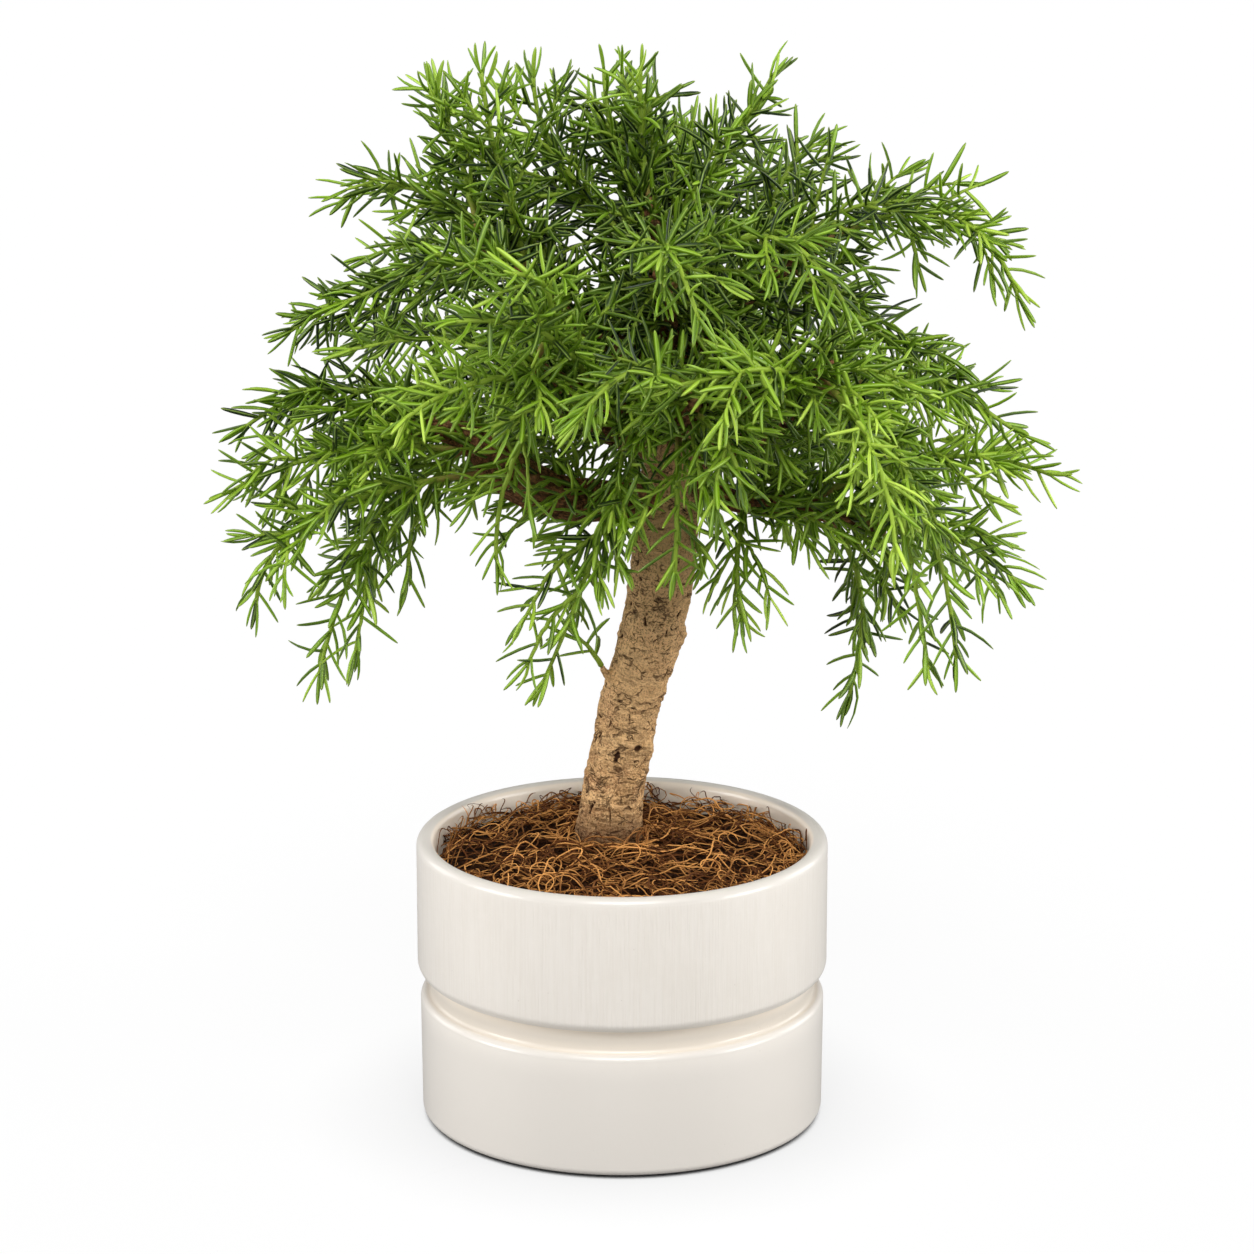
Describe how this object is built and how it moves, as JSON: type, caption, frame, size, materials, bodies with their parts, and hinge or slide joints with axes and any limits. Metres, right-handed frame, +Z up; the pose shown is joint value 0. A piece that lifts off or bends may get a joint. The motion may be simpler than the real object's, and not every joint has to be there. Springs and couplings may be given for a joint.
{
  "type": "potted araucaria bonsai",
  "caption": "Small araucaria conifer grown as a bonsai: curved trunk, domed crown of arching needle-leaved shoots, coir mulch, in a white glazed pot with a groove round it",
  "frame": {"origin": "centre of the pot's flat foot, on the surface the pot stands on", "axes": "+Z up, -Y the plant's front, +X to its right seen from the front"},
  "size_m": [0.3661, 0.3063, 0.473],
  "materials": {
    "glazed_pot": "satin",
    "drain_mesh": "matte",
    "potting_soil": "matte",
    "coir_fibre": "matte",
    "bark": "matte",
    "leafy_shoot": "satin"
  },
  "bodies": {
    "root": {"coir_mulch": "coir_fibre", "drain_mesh_1": "drain_mesh", "drain_mesh_2": "drain_mesh", "drain_mesh_3": "drain_mesh", "pot": "glazed_pot", "shoot_back_1": "leafy_shoot", "shoot_back_2": "leafy_shoot", "shoot_back_3": "leafy_shoot", "shoot_back_4": "leafy_shoot", "shoot_back_left_1": "leafy_shoot", "shoot_back_left_2": "leafy_shoot", "shoot_back_left_3": "leafy_shoot", "shoot_back_right_1": "leafy_shoot", "shoot_back_right_2": "leafy_shoot", "shoot_back_right_3": "leafy_shoot", "shoot_front_1": "leafy_shoot", "shoot_front_2": "leafy_shoot", "shoot_front_3": "leafy_shoot", "shoot_front_left_1": "leafy_shoot", "shoot_front_left_2": "leafy_shoot", "shoot_front_left_3": "leafy_shoot", "shoot_front_left_4": "leafy_shoot", "shoot_front_right_1": "leafy_shoot", "shoot_front_right_2": "leafy_shoot", "shoot_front_right_3": "leafy_shoot", "shoot_leader_1": "leafy_shoot", "shoot_leader_2": "leafy_shoot", "shoot_leader_3": "leafy_shoot", "shoot_leader_4": "leafy_shoot", "shoot_leader_5": "leafy_shoot", "shoot_leader_6": "leafy_shoot", "shoot_left_1": "leafy_shoot", "shoot_left_2": "leafy_shoot", "shoot_left_3": "leafy_shoot", "shoot_left_4": "leafy_shoot", "shoot_left_5": "leafy_shoot", "shoot_left_6": "leafy_shoot", "shoot_left_7": "leafy_shoot", "shoot_right_1": "leafy_shoot", "shoot_right_2": "leafy_shoot", "shoot_right_3": "leafy_shoot", "shoot_right_4": "leafy_shoot", "shoot_up_back_1": "leafy_shoot", "shoot_up_back_2": "leafy_shoot", "shoot_up_back_3": "leafy_shoot", "shoot_up_front_1": "leafy_shoot", "shoot_up_front_2": "leafy_shoot", "shoot_up_left_1": "leafy_shoot", "shoot_up_left_2": "leafy_shoot", "shoot_up_left_3": "leafy_shoot", "shoot_up_left_4": "leafy_shoot", "shoot_up_left_5": "leafy_shoot", "shoot_up_left_6": "leafy_shoot", "shoot_up_right_1": "leafy_shoot", "shoot_up_right_2": "leafy_shoot", "shoot_up_right_3": "leafy_shoot", "shoot_up_right_4": "leafy_shoot", "shoot_up_right_5": "leafy_shoot", "soil": "potting_soil", "trunk": "bark"}
  },
  "joints": []
}
